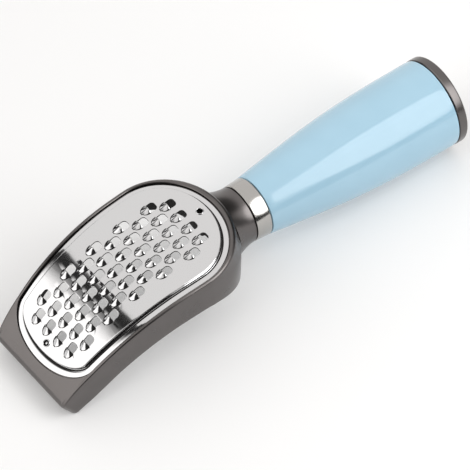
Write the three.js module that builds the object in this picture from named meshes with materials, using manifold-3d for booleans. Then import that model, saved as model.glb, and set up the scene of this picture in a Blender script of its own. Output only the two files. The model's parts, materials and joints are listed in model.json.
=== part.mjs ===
// Hand-held potato grater: an arched cast head with a punched steel plate, a steel ferrule and a handle.
// Millimetres. The tool is built along its handle axis, X towards the end cap and Z up, with X = 0 where the
// ferrule meets the handle. The head is drawn flat, as (u, y, h): u along the arch from the rim's rear end
// to its front, y across and h up from the rim. It is then bent to the arch, and the tool is laid at rest.
import * as THREE from "three";
import { ConvexGeometry } from "three/addons/geometries/ConvexGeometry.js";
import { mergeGeometries, mergeVertices } from "three/addons/utils/BufferGeometryUtils.js";
import Module from "manifold-3d";

const wasm = await Module();
wasm.setup();

// Driving dimensions: fits
const seatGap = 0.3;
const holeClearance = 0.3;

// Driving dimensions: handle, ferrule and end cap
const handleLength = 94.5;
const handleNoseRadius = 13.65;
const handleEndRadius = 20.4;
const handleSwellStart = 42;
const handleSwellRise = 5.6;
const handleSwellEnd = 42.5;
const handleWall = 2.6;
const bulkheadThickness = 4;
const ferruleLength = 7.6;
const ferruleFrontRadius = 13.1;
const ferruleRearRadius = 13.5;
const ferruleWall = 0.8;
const capThickness = 4.1;
const capEdgeRadius = 0.8;
const capPlugDepth = 7;
const capPlugWall = 2.2;

// Driving dimensions: neck, tang and the screw that ties head and handle
const neckRadius = 13;
const neckFlare = 2.6;
const neckLength = 12;
const neckFlareStart = 1.2;
const neckFlareRun = 6;
const neckRootLength = 8;
const tangRadius = 8.6;
const tangLength = 15;
const screwRadius = 2.5;
const screwLength = 20;
const screwHeadRadius = 4.75;
const screwHeadHeight = 3.4;
const screwHeadRim = 2;
const screwHeadTopRadius = 3.3;
const screwSlotWidth = 1.2;
const screwSlotDepth = 1.4;
const washerRadius = 7.5;
const washerThickness = 1.2;
const lockWasherRadius = 4.6;
const lockWasherThickness = 1.3;
const lockWasherSplit = 0.8;

// Driving dimensions: arch of the head, seen from the side
const rimRise = 17;
const rearSlope = THREE.MathUtils.degToRad(6.8);
const frontSlope = THREE.MathUtils.degToRad(39.5);
const archRadius = 90;
const rearRun = 36;

// Driving dimensions: casting of the head, laid flat
const headLength = 110.5;
const headWidth = 60.8;
const frontWidth = 46.55;
const sideCurve = 1.75;
const rearRound = 26.7;
const rearShoulder = 1.8;
const sideShoulder = 0.4;
const frontCorner = 3;
const leastCorner = 0.8;
const skirtRear = 16;
const skirtFront = 14.2;
const skirtDip = 13.8;
const skirtDipLength = 31;
const skirtDipBend = 4.5;
const rearDraft = 0.5;
const sideDraft = 0.6;
const frontDraft = 1.1;
const wall = 2.4;
const noseLength = 15.5;
const noseDrop = 2.4;
const noseRound = 1.2;
const footRound = 1.4;
const footCut = 0.3;
const ledgeThickness = 2;

// Driving dimensions: plate
const sheet = 0.6;
const plateSink = 0.9;
const panelRise = 2.1;
const flangeWidth = 3.1;
const flangeFront = 4.4;
const rimLand = 1.6;
const rimLandRear = 2;
const rimLandFront = 7.5;
const plateFrontRound = 15;

// Driving dimensions: teeth
const rowPitch = 7.21;
const rowsFromRearRivet = 6.7;
const rowsFromFrontRivet = 6;
const teethFromPanelSide = 2.4;
const toothPitch = 7.55;
const holeWidth = 4.4;
const holeLength = 4;
const holeRound = 1.6;
const hoodLength = 3.7;
const hoodHeight = 1.5;
const bendBehindHole = 0.2;

// Driving dimensions: rivets
const rivetInset = 3.8;
const rivetHeadRadius = 1.7;
const rivetHeadHeight = 0.5;
const rivetShankRadius = 1;

// Fineness of the round surfaces
const turns = 36;
const smallTurns = 20;
const holeTurns = 12;
const curveSteps = 6;
const cornerSteps = 4;
const hoodSteps = 4;
const arcSteps = 10;
const sideSteps = 7;
const swellSteps = 10;

// Levels in the flat head, from the rim
const flangeTop = -plateSink;
const flangeBottom = flangeTop - sheet;
const panelTop = flangeTop + panelRise;
const panelBottom = panelTop - sheet;
const ledgeTop = flangeBottom - seatGap;
const ledgeBottom = ledgeTop - ledgeThickness;

// How far a cut runs past what it cuts
const cutPast = 1;
const aboveHead = panelTop + hoodHeight + cutPast;

// Rivets on the centre line, each with a boss that clears the panel's inner wall
const rearRivet = rimLandRear + flangeWidth + rivetInset;
const frontRivet = headLength - rimLandFront - flangeFront - rivetInset;
const lugRadius = rivetInset - sheet - seatGap;

// Solids
function toSolid(geometry) {
  const bare = geometry.clone();
  bare.deleteAttribute("normal");
  bare.deleteAttribute("uv");
  const merged = mergeVertices(bare, 1e-5);
  return new wasm.Manifold(new wasm.Mesh({
    numProp: 3,
    vertProperties: new Float32Array(merged.attributes.position.array),
    triVerts: new Uint32Array(merged.index.array),
  }));
}

function toGeometry(solid) {
  const mesh = solid.getMesh();
  const geometry = new THREE.BufferGeometry();
  geometry.setAttribute("position", new THREE.BufferAttribute(new Float32Array(mesh.vertProperties), 3));
  geometry.setIndex(new THREE.BufferAttribute(new Uint32Array(mesh.triVerts), 1));
  return geometry;
}

// A body turned about the handle axis, from [x, radius] pairs that run round it with the inside on the left.
function turned(profile, sides = turns) {
  const points = profile.map(([x, radius]) => new THREE.Vector2(radius, x));
  return new THREE.LatheGeometry(points, sides).rotateZ(-Math.PI / 2);
}

function rod(x0, x1, radius, sides = turns) {
  return turned([[x0, 0], [x0, radius], [x1, radius], [x1, 0]], sides);
}

// An outline in (u, y) raised from h0 to h1.
function slab(outline, h0, h1) {
  const options = { depth: h1 - h0, bevelEnabled: false };
  return new THREE.ExtrudeGeometry(new THREE.Shape(outline), options).translate(0, 0, h0);
}

// A side view in (u, h) widened evenly across y.
function sideSlab(outline, width) {
  const options = { depth: width, bevelEnabled: false };
  return new THREE.ExtrudeGeometry(new THREE.Shape(outline), options)
    .rotateX(Math.PI / 2)
    .translate(0, width / 2, 0);
}

function disc(u, y, radius, h0, h1) {
  const outline = new THREE.Path().absarc(u, y, radius, 0, 2 * Math.PI).getPoints(holeTurns);
  return slab(outline.slice(0, -1), h0, h1);
}

// Bending the flat head to its arch
const rimRear = new THREE.Vector2(-ferruleLength - neckLength, rimRise);
const archAngle = frontSlope - rearSlope;
const archRun = archRadius * archAngle;
const alongArch = (slope) => new THREE.Vector2(-Math.cos(slope), -Math.sin(slope));
const acrossArch = (slope) => new THREE.Vector2(-Math.sin(slope), Math.cos(slope));
const archStart = rimRear.clone().addScaledVector(alongArch(rearSlope), rearRun);
const archCentre = archStart.clone().addScaledVector(acrossArch(rearSlope), -archRadius);

function bendPoint(u, h) {
  const turn = THREE.MathUtils.clamp((u - rearRun) / archRadius, 0, archAngle);
  const slope = rearSlope + turn;
  const past = u - THREE.MathUtils.clamp(u, rearRun, rearRun + archRun);
  return archCentre.clone()
    .addScaledVector(acrossArch(slope), archRadius + h)
    .addScaledVector(alongArch(slope), past);
}

// Cuts every triangle that crosses one of the stations along u, so that the body can bend there.
function splitAlong(geometry, stations) {
  let corners = geometry.toNonIndexed().attributes.position.array;
  for (const station of stations) {
    const next = [];
    for (let i = 0; i < corners.length; i += 9) {
      const triangle = [0, 3, 6].map((k) => new THREE.Vector3().fromArray(corners, i + k));
      const sides = triangle.map((p) => Math.sign(Math.abs(p.x - station) < 1e-6 ? 0 : p.x - station));
      if (!sides.includes(1) || !sides.includes(-1)) {
        next.push(...corners.slice(i, i + 9));
        continue;
      }
      for (const side of [-1, 1]) {
        const piece = [];
        triangle.forEach((p, k) => {
          const q = triangle[(k + 1) % 3];
          if (sides[k] !== -side) piece.push(p);
          if (sides[k] * sides[(k + 1) % 3] < 0) piece.push(crossing(p, q, station));
        });
        for (let k = 1; k + 1 < piece.length; k++) {
          next.push(...piece[0].toArray(), ...piece[k].toArray(), ...piece[k + 1].toArray());
        }
      }
    }
    corners = new Float32Array(next);
  }
  const split = new THREE.BufferGeometry();
  split.setAttribute("position", new THREE.BufferAttribute(new Float32Array(corners), 3));
  return split;
}

function crossing(p, q, station) {
  const [low, high] = p.x < q.x ? [p, q] : [q, p];
  const point = low.clone().lerp(high, (station - low.x) / (high.x - low.x));
  point.x = station;
  return point;
}

// The head bends between its rows of teeth, from the row before the arch to the row after it.
const firstRow = rearRivet + rowsFromRearRivet;
const firstBend = firstRow - holeLength / 2 - bendBehindHole;
const bendsBefore = Math.floor((rearRun - firstBend) / rowPitch);
const bendCount = 2 + Math.ceil(archRun / rowPitch);
const bendStations = Array.from({ length: bendCount }, (_, i) => firstBend + (bendsBefore + i) * rowPitch);

function bent(solid) {
  const flat = splitAlong(toGeometry(solid), bendStations);
  const position = flat.attributes.position;
  for (let i = 0; i < position.count; i++) {
    const place = bendPoint(position.getX(i), position.getZ(i));
    position.setXYZ(i, place.x, -position.getY(i), place.y);
  }
  return toSolid(flat);
}

// Outlines of the flat head
function sideHalfWidth(u) {
  const share = Math.max(u - rearRound, 0) / (headLength - rearRound);
  return headWidth / 2 - ((headWidth - frontWidth) / 2) * share ** sideCurve;
}

// Half of a rear round, from the centre line to its full half width.
function rearArc(reach, halfWidth) {
  return Array.from({ length: arcSteps + 1 }, (_, i) => {
    const angle = (i / arcSteps) * (Math.PI / 2);
    return new THREE.Vector2(rearRound - reach * Math.cos(angle), halfWidth * Math.sin(angle));
  });
}

function sideLine(uEnd, out) {
  return Array.from({ length: sideSteps }, (_, i) => {
    const u = rearRound + ((uEnd - rearRound) * (i + 1)) / sideSteps;
    return new THREE.Vector2(u, sideHalfWidth(u) + out);
  });
}

// Half of an elliptical end, from a half width to the centre line.
function endArc(u, y, reach, halfWidth, steps) {
  return Array.from({ length: steps }, (_, i) => {
    const angle = ((i + 1) / steps) * (Math.PI / 2);
    return new THREE.Vector2(u + reach * Math.sin(angle), y + halfWidth * Math.cos(angle));
  });
}

// A whole outline from the half that runs from the centre line at the rear to the centre line at the front.
function withMirror(half) {
  const between = half.slice(1, -1);
  const mirrored = between.map((p) => new THREE.Vector2(p.x, -p.y));
  const front = new THREE.Vector2(half.at(-1).x, 0);
  return [half[0], ...mirrored, front, ...between.reverse()];
}

// The casting's outline, moved outwards at the rear, the sides and the front.
function castingOutline(rear, side, front) {
  const corner = Math.max(frontCorner + front, leastCorner);
  const uCorner = headLength + front - corner;
  const yCorner = sideHalfWidth(headLength - frontCorner) + side - corner;
  return withMirror([
    ...rearArc(rearRound + rear, headWidth / 2 + side),
    ...sideLine(uCorner, side),
    ...endArc(uCorner, yCorner, corner, corner, cornerSteps),
    new THREE.Vector2(headLength + front, 0),
  ]);
}

// The plate's outline, moved inwards all round: round at the rear, and a wide round at the front.
function plateOutline(inset, frontInset = inset) {
  const uFront = headLength - rimLandFront - plateFrontRound;
  const halfWidth = sideHalfWidth(uFront) - rimLand - inset;
  return withMirror([
    ...rearArc(rearRound - rimLandRear - inset, headWidth / 2 - rimLand - inset),
    ...sideLine(uFront, -rimLand - inset),
    ...endArc(uFront, 0, plateFrontRound - frontInset, halfWidth, arcSteps),
  ]);
}

// A body between two outlines with as many points each, at two levels.
function loft(lower, hLower, upper, hUpper) {
  const count = lower.length;
  const rings = [[lower, hLower], [upper, hUpper]];
  const positions = rings.flatMap(([ring, h]) => ring.flatMap((p) => [p.x, p.y, h]));
  const caps = THREE.ShapeUtils.triangulateShape(lower, []);
  const index = [];
  for (const [a, b, c] of caps) {
    index.push(a, c, b, a + count, b + count, c + count);
  }
  for (let i = 0; i < count; i++) {
    const j = (i + 1) % count;
    index.push(i, j, j + count, i, j + count, i + count);
  }
  const geometry = new THREE.BufferGeometry();
  geometry.setAttribute("position", new THREE.Float32BufferAttribute(positions, 3));
  geometry.setIndex(index);
  return geometry;
}

// The casting's walls, moved inwards all round: they stand outside the rim by the shoulders, and lean
// outwards by the drafts at the depth of the rear skirt.
function castingBlock(inset, hLow, hHigh) {
  const ring = (h) => {
    const lean = -h / skirtRear;
    const rear = rearShoulder + lean * rearDraft - inset;
    const side = sideShoulder + lean * sideDraft - inset;
    return castingOutline(rear, side, lean * frontDraft - inset);
  };
  return toSolid(loft(ring(hLow), hLow, ring(hHigh), hHigh));
}

// Side view of the casting: a nose that falls away in front of the plate, and a skirt that tapers to it and
// dips at the rear to meet the neck's underside.
const skirtAt = (u) => THREE.MathUtils.mapLinear(u, rearRound, headLength, -skirtRear, -skirtFront);
const frontAt = (h) => headLength - (frontDraft * h) / skirtRear;
const footHeight = skirtAt(headLength) + footRound;
const footCentre = new THREE.Vector2(frontAt(footHeight) - footRound, footHeight);
const behindHead = -rearRound / 2;
const belowHead = skirtDip - Math.min(skirtAt(0), skirtAt(headLength)) + cutPast;

function castingSideView() {
  const noseStart = headLength - noseLength;
  const view = new THREE.Path();
  view.moveTo(behindHead, 0);
  view.lineTo(noseStart, 0);
  view.quadraticCurveTo(noseStart + noseLength / 2, 0, headLength - noseRound, -noseDrop);
  view.quadraticCurveTo(headLength, -noseDrop - noseRound / 2, headLength, -noseDrop - 2 * noseRound);
  view.lineTo(frontAt(footHeight), footHeight);
  view.absarc(footCentre.x, footCentre.y, footRound, 0, -Math.PI / 2, true);
  const dipBend = skirtDipLength - skirtDipBend;
  view.lineTo(skirtDipLength, skirtAt(skirtDipLength));
  view.quadraticCurveTo(dipBend, skirtAt(dipBend), behindHead, skirtAt(0) - skirtDip);
  const points = view.getPoints(curveSteps).reverse();
  return points.filter((p, i) => i === 0 || p.distanceTo(points[i - 1]) > 1e-6);
}

// Rest: the ground touches the foot under the head's front and the rim of the end cap.
const capEnd = handleLength + seatGap + capThickness;
const frontTouch = bendPoint(footCentre.x, footCentre.y);
const capTouch = new THREE.Vector2(capEnd - capEdgeRadius, capEdgeRadius - handleEndRadius);
const touchSpan = capTouch.clone().sub(frontTouch);
const frontTouchRadius = footRound - footCut;
const restTilt = touchSpan.angle() - Math.asin((capEdgeRadius - frontTouchRadius) / touchSpan.length());
const groundUp = new THREE.Vector2(-Math.sin(restTilt), Math.cos(restTilt));
const groundLevel = groundUp.dot(frontTouch) - frontTouchRadius;

function belowGround() {
  const depth = 20;
  const span = 3 * (headLength + handleLength);
  return toSolid(new THREE.BoxGeometry(span, span, depth)
    .translate(0, 0, groundLevel - depth / 2)
    .rotateY(-restTilt));
}

// Head: neck with its flare, root, ferrule seat and tang, turned about the handle axis
const ferruleSeatRadius = ferruleFrontRadius - ferruleWall - seatGap;

function neckBody() {
  const flareX = rimRear.x + neckFlareStart;
  const rootX = rimRear.x - neckRootLength;
  const neckEnd = -ferruleLength - seatGap;
  const flare = new THREE.QuadraticBezierCurve(
    new THREE.Vector2(flareX, neckRadius + neckFlare),
    new THREE.Vector2(flareX + neckFlareRun, neckRadius),
    new THREE.Vector2(neckEnd, neckRadius),
  ).getPoints(curveSteps);
  const root = endArc(0, 0, 1, 1, curveSteps).map((p) => [
    flareX - (flareX - rootX) * p.x,
    (neckRadius + neckFlare) * p.y,
  ]).reverse();
  return toSolid(turned([
    ...root.map(([x, radius]) => [x, Math.max(radius, 0)]),
    ...flare.map((p) => [p.x, p.y]),
    [neckEnd, ferruleSeatRadius],
    [-seatGap, ferruleSeatRadius],
    [-seatGap, tangRadius],
    [tangLength, tangRadius],
    [tangLength, 0],
  ]));
}

// Rivet lugs: a tongue of the ledge under the plate's end, with a boss up to the raised panel.
function rivetLug(u, uLedge) {
  const start = Math.min(u, uLedge);
  const end = Math.max(u, uLedge);
  const tongue = [[start, -lugRadius], [end, -lugRadius], [end, lugRadius], [start, lugRadius]];
  const outline = tongue.map(([x, y]) => new THREE.Vector2(x, y));
  return toSolid(slab(outline, ledgeBottom, ledgeTop))
    .add(toSolid(disc(u, 0, lugRadius, ledgeBottom, panelBottom - seatGap)));
}

const rivetShankEnd = ledgeBottom + seatGap;
const rivetHoleRadius = rivetShankRadius + holeClearance;
const rivetHole = (u) => toSolid(disc(u, 0, rivetHoleRadius, ledgeBottom - cutPast, aboveHead));

function headFrame() {
  const block = castingBlock(0, -belowHead, aboveHead)
    .intersect(toSolid(sideSlab(castingSideView(), 2 * headWidth)));
  const cavity = castingBlock(wall, -belowHead, ledgeBottom);
  const recess = toSolid(slab(plateOutline(-seatGap), ledgeTop, aboveHead));
  const opening = plateOutline(flangeWidth - seatGap, flangeFront - seatGap);
  const window = toSolid(slab(opening, ledgeBottom - cutPast, aboveHead));
  const lugs = rivetLug(rearRivet, rimLandRear).add(rivetLug(frontRivet, headLength - rimLandFront));
  const holes = rivetHole(rearRivet).add(rivetHole(frontRivet));
  const shell = block.subtract(cavity).subtract(window).subtract(recess).add(lugs).subtract(holes);
  const screwBore = screwRadius + holeClearance;
  const screwHole = rod(tangLength - screwLength, tangLength + cutPast, screwBore, smallTurns);
  return bent(shell)
    .add(neckBody().subtract(bent(recess)))
    .subtract(toSolid(screwHole))
    .subtract(belowGround());
}

// Plate: flange, raised panel and teeth, each a hole with an arched hood on its front side
function toothPlaces() {
  const lastRow = frontRivet - rowsFromFrontRivet;
  const rows = 1 + Math.floor((lastRow - firstRow) / rowPitch);
  const sideReach = sideHalfWidth(lastRow) - rimLand - flangeWidth - teethFromPanelSide - holeWidth / 2;
  const longRow = 1 + 2 * Math.floor(sideReach / toothPitch);
  return Array.from({ length: rows }, (_, row) => {
    const count = longRow - 1 + (row % 2);
    return Array.from({ length: count }, (_, i) => ({
      u: firstRow + row * rowPitch,
      y: (i - (count - 1) / 2) * toothPitch,
    }));
  }).flat();
}

function toothHole({ u, y }) {
  const half = holeWidth / 2;
  const back = u - holeLength / 2;
  const front = u + holeLength / 2;
  const hole = new THREE.Shape();
  hole.moveTo(front, y - half);
  hole.lineTo(front, y + half);
  hole.lineTo(back + holeRound, y + half);
  hole.quadraticCurveTo(back, y + half, back, y + half - holeRound);
  hole.lineTo(back, y - half + holeRound);
  hole.quadraticCurveTo(back, y - half, back + holeRound, y - half);
  return slab(hole.getPoints(2), panelBottom - cutPast, panelTop + cutPast);
}

// A hood: an arch over the hole's front edge whose crest falls straight to a round end. Its inset makes the
// space under it, which runs out of the mouth and down through the panel.
function toothHood({ u, y }, inset, back, down) {
  const edge = u + holeLength / 2;
  const half = holeWidth / 2 - inset;
  const points = [];
  for (let i = 0; i <= hoodSteps; i++) {
    const angle = (i / hoodSteps) * Math.PI;
    const across = y + half * Math.cos(angle);
    const end = edge + (hoodLength - inset) * Math.sin(angle);
    points.push(new THREE.Vector3(edge - back, across, panelTop + (hoodHeight - inset) * Math.sin(angle)));
    points.push(new THREE.Vector3(edge - back, across, panelTop - down));
    points.push(new THREE.Vector3(end, across, panelTop));
    points.push(new THREE.Vector3(end, across, panelTop - down));
  }
  return new ConvexGeometry(points);
}

function graterPlate() {
  const outer = plateOutline(flangeWidth, flangeFront);
  const inner = plateOutline(flangeWidth + sheet, flangeFront + sheet);
  const dish = toSolid(slab(plateOutline(0), flangeBottom, flangeTop))
    .add(toSolid(slab(outer, flangeBottom, panelTop)))
    .subtract(toSolid(slab(inner, flangeBottom - cutPast, panelBottom)));
  const places = toothPlaces();
  const holes = toSolid(mergeGeometries(places.map(toothHole)));
  const hoods = toSolid(mergeGeometries(places.map((p) => toothHood(p, 0, 0, sheet / 2))));
  const under = toSolid(mergeGeometries(places.map((p) => toothHood(p, sheet, cutPast, sheet + cutPast))));
  const rivets = rivetHole(rearRivet).add(rivetHole(frontRivet));
  return bent(dish.add(hoods).subtract(under).subtract(holes).subtract(rivets));
}

function plateRivet(u) {
  const head = panelTop + seatGap;
  const crown = disc(u, 0, rivetHeadRadius, head, head + rivetHeadHeight);
  const shank = disc(u, 0, rivetShankRadius, rivetShankEnd, head + rivetHeadHeight / 2);
  return bent(toSolid(crown).add(toSolid(shank)));
}

// Handle side
function handleOuter() {
  const start = new THREE.Vector2(0, handleNoseRadius);
  const end = new THREE.Vector2(handleLength, handleEndRadius);
  return new THREE.CubicBezierCurve(
    start,
    new THREE.Vector2(handleSwellStart, handleNoseRadius + handleSwellRise),
    new THREE.Vector2(handleLength - handleSwellEnd, handleEndRadius),
    end,
  ).getPoints(swellSteps);
}

const socketEnd = tangLength + seatGap;
const bulkheadEnd = socketEnd + bulkheadThickness;

function handleRadiusAt(x) {
  const outer = handleOuter();
  const next = outer.findIndex((p) => p.x >= x);
  const [a, b] = [outer[Math.max(next - 1, 0)], outer[Math.max(next, 1)]];
  return THREE.MathUtils.mapLinear(x, a.x, b.x, a.y, b.y);
}

function handleShell() {
  const outer = handleOuter();
  const inner = outer.filter((p) => p.x > bulkheadEnd).map((p) => [p.x, p.y - handleWall]).reverse();
  const socket = tangRadius + seatGap;
  const screwHole = screwRadius + holeClearance;
  return turned([
    ...outer.map((p) => [p.x, p.y]),
    ...inner,
    [bulkheadEnd, handleRadiusAt(bulkheadEnd) - handleWall],
    [bulkheadEnd, screwHole],
    [socketEnd, screwHole],
    [socketEnd, socket],
    [0, socket],
    [0, handleNoseRadius],
  ]);
}

function ferrule() {
  const inner = ferruleSeatRadius + seatGap;
  return turned([
    [-ferruleLength, ferruleFrontRadius],
    [-seatGap, ferruleRearRadius],
    [-seatGap, inner],
    [-ferruleLength, inner],
    [-ferruleLength, ferruleFrontRadius],
  ]);
}

function endCap() {
  const plug = handleEndRadius - handleWall - seatGap;
  const seat = handleLength + seatGap;
  const edgeX = capEnd - capEdgeRadius;
  const edge = endArc(edgeX, handleEndRadius - capEdgeRadius, capEdgeRadius, capEdgeRadius, cornerSteps);
  return turned([
    [seat, 0],
    [seat, plug - capPlugWall],
    [handleLength - capPlugDepth, plug - capPlugWall],
    [handleLength - capPlugDepth, plug],
    [seat, plug],
    [seat, handleEndRadius],
    [edgeX, handleEndRadius],
    ...edge.map((p) => [p.x, p.y]),
    [capEnd, 0],
  ]);
}

// Screw and washers, stacked on the bulkhead from inside the handle
const washerStart = bulkheadEnd + seatGap;
const lockWasherStart = washerStart + washerThickness + seatGap;
const screwHeadStart = lockWasherStart + lockWasherThickness + seatGap;

function ring(x0, x1, inner, outer) {
  return turned([[x0, outer], [x1, outer], [x1, inner], [x0, inner], [x0, outer]], smallTurns);
}

function flatWasher() {
  return ring(washerStart, washerStart + washerThickness, screwRadius + holeClearance, washerRadius);
}

function lockWasher() {
  const inner = screwRadius + holeClearance;
  const whole = ring(lockWasherStart, lockWasherStart + lockWasherThickness, inner, lockWasherRadius);
  const split = new THREE.BoxGeometry(4 * lockWasherThickness, lockWasherSplit, lockWasherRadius)
    .translate(lockWasherStart, 0, inner + lockWasherRadius / 2 - holeClearance);
  return toGeometry(toSolid(whole).subtract(toSolid(split)));
}

function tieScrew() {
  const headEnd = screwHeadStart + screwHeadHeight;
  const shank = rod(screwHeadStart - screwLength, screwHeadStart + screwHeadRim, screwRadius, smallTurns);
  const head = turned([
    [screwHeadStart, 0],
    [screwHeadStart, screwHeadRadius],
    [screwHeadStart + screwHeadRim, screwHeadRadius],
    [headEnd, screwHeadTopRadius],
    [headEnd, 0],
  ], smallTurns);
  const slotLength = 2 * screwHeadRadius + cutPast;
  const slot = new THREE.BoxGeometry(screwSlotDepth + cutPast, screwSlotWidth, slotLength)
    .translate(headEnd + (cutPast - screwSlotDepth) / 2, 0, 0);
  return toGeometry(toSolid(shank).add(toSolid(head)).subtract(toSolid(slot)));
}

// Materials
const gunmetal = { color: 0x6b6764, roughness: 0.35, metalness: 0.9 };
const stainless = { color: 0xd4d4d4, roughness: 0.2, metalness: 1 };
const polishedSteel = { color: 0xd8d4cf, roughness: 0.12, metalness: 1 };
const lightBluePlastic = { color: 0xaccfe2, roughness: 0.15, metalness: 0 };
const zincPlate = { color: 0xb9b9b4, roughness: 0.4, metalness: 1 };

const tool = new THREE.Group();

function place(name, geometry, look) {
  const mesh = new THREE.Mesh(geometry, new THREE.MeshStandardMaterial(look));
  mesh.name = name;
  tool.add(mesh);
}

place("head_frame", toGeometry(headFrame()), gunmetal);
place("grater_plate", toGeometry(graterPlate()), stainless);
place("rear_plate_rivet", toGeometry(plateRivet(rearRivet)), stainless);
place("front_plate_rivet", toGeometry(plateRivet(frontRivet)), stainless);
place("ferrule", ferrule(), polishedSteel);
place("handle_shell", handleShell(), lightBluePlastic);
place("tie_screw", tieScrew(), zincPlate);
place("flat_washer", flatWasher(), zincPlate);
place("lock_washer", lockWasher(), zincPlate);
place("end_cap", endCap(), gunmetal);

// The tool laid at rest on Z = 0, with the middle of its length at X = 0
tool.rotation.y = restTilt;
const grater = new THREE.Group();
grater.add(tool);
grater.updateMatrixWorld(true);
const extent = new THREE.Box3().setFromObject(grater, true);
tool.position.x = -(extent.min.x + extent.max.x) / 2;
tool.position.z = -groundLevel;

export default grater;
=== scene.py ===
import json
import math

import bmesh
import bpy
from mathutils import Matrix, Vector


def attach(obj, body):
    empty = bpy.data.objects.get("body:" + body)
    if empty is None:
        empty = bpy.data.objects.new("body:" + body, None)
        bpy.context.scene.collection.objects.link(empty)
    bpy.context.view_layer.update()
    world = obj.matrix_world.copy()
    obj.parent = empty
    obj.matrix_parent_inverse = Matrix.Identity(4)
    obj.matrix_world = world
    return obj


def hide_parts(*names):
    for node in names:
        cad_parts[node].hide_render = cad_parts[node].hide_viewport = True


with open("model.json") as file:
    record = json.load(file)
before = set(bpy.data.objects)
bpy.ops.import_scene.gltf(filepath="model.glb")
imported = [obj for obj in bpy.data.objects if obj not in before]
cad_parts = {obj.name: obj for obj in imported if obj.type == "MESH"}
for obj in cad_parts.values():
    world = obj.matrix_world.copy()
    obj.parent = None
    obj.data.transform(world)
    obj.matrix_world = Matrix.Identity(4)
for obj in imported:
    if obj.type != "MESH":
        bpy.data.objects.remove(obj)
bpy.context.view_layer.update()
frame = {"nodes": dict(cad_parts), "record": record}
bpy.ops.object.select_all(action="DESELECT")

# Head casting: zinc alloy, die-cast in one piece with its neck and plated in a dark gunmetal finish.
# An arched rim and skirt, open underneath, with a ledge inside the rim that carries the plate.
# It is drawn flat in millimetres (along from the rear, across, up from the rim), then laid on its arch.
head_length, head_width, front_width = 110.5, 60.8, 46.55
side_curve = 1.75
rear_round = 26.7
front_corner = 3.0
skirt_rear, skirt_front = 16.0, 14.2
dip_start, dip_blend, dip_slope = 31.35, 9.0, 0.341
web_drop, web_inner, web_outer = 3.0, (-1.9, -0.8), (1.0, 4.9)
rear_shoulder, rear_draft, rear_lean = 2.4, -0.71, 0.16
shoulder_swell, swell_top, swell_foot = 2.38, 3.5, 8.0
side_shoulder, side_draft, front_draft = 0.4, 0.6, 1.1
wall = 2.4
nose_length, nose_drop, nose_round = 15.5, 2.4, 1.2
rear_rim_round, front_rim_round = 3.3, 2.4
side_rim_round, front_side_round, side_round_change = 1.3, 0.8, (60.0, 85.0)
recess_round = 0.25
skirt_round, foot_round, foot_round_change = 0.84, 1.4, (98.0, 108.0)
inner_round = 0.5
ledge_top, ledge_bottom = -1.8, -3.8
rim_land, rim_land_rear, rim_land_front = 1.6, 2.0, 7.5
plate_front_round = 15.0
flange_side, flange_front = 3.1, 4.4
seat_gap = 0.3
arc_steps, side_steps, corner_steps = 40, 40, 12
rim_steps, foot_steps, inner_steps = 6, 5, 3
between = (0.25, 0.5, 0.75)


def quarter_turn(steps):
    return [math.pi / 2 * i / steps for i in range(steps + 1)]


def half_width(along):
    share = max(along - rear_round, 0.0) / (head_length - rear_round)
    return head_width / 2 - (head_width - front_width) / 2 * share**side_curve


def both_sides(half):
    return half + [(along, -across) for along, across in half[-2:0:-1]]


def smooth_step(value, low, high):
    share = min(max((value - low) / (high - low), 0.0), 1.0)
    return share * share * (3 - 2 * share)


rear_turns = quarter_turn(arc_steps)


def rear_arc(reach, width):
    return [(rear_round - reach * math.cos(a), width * math.sin(a)) for a in rear_turns]


def side_line(end, out):
    stations = [rear_round + (end - rear_round) * (i + 1) / side_steps for i in range(side_steps)]
    return [(along, half_width(along) + out) for along in stations]


def casting_edge(depth):
    """The casting's outline at a depth below its rim: a rear that swells and leans in, and a square front."""
    fall = depth / skirt_rear
    side_out = side_shoulder + side_draft * fall
    rear = []
    for a, (u, y) in zip(rear_turns, rear_arc(rear_round, head_width / 2)):
        out = (rear_shoulder + rear_draft * fall) * math.cos(a) ** 2 + side_out * math.sin(a) ** 2
        out += shoulder_swell * math.sin(2 * a) ** 2 * smooth_step(depth, swell_top, swell_foot)
        out -= rear_lean * depth * math.cos(a)
        normal = Vector((-math.cos(a) / rear_round, 2 * math.sin(a) / head_width)).normalized()
        rear.append((u + normal.x * out, y + normal.y * out))
    front = head_length + front_draft * fall
    start = front - front_corner
    inner = half_width(start) + side_out - front_corner
    corner = [
        (start + front_corner * math.sin(a), inner + front_corner * math.cos(a))
        for a in quarter_turn(corner_steps)[1:]
    ]
    square = [(front, inner * (1 - (i + 1) / corner_steps)) for i in range(corner_steps)]
    return [Vector(point) for point in both_sides(rear + side_line(start, side_out) + corner + square)]


def plate_edge(inset):
    """The plate's outline moved inwards. Its flange is wider in front than along the sides."""
    front_inset = inset + (flange_front - flange_side) * min(max(inset / flange_side, 0.0), 1.0)
    start = head_length - rim_land_front - plate_front_round
    width = half_width(start) - rim_land - inset
    reach = plate_front_round - front_inset
    turns = quarter_turn(2 * corner_steps)[1:]
    front = [(start + reach * math.sin(a), width * math.cos(a)) for a in turns]
    rear = rear_arc(rear_round - rim_land_rear - inset, head_width / 2 - rim_land - inset)
    return both_sides(rear + side_line(start, -rim_land - inset) + front)


def rim_top(along):
    return -nose_drop * (max(along - head_length + nose_length + nose_round, 0.0) / nose_length) ** 2


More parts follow.
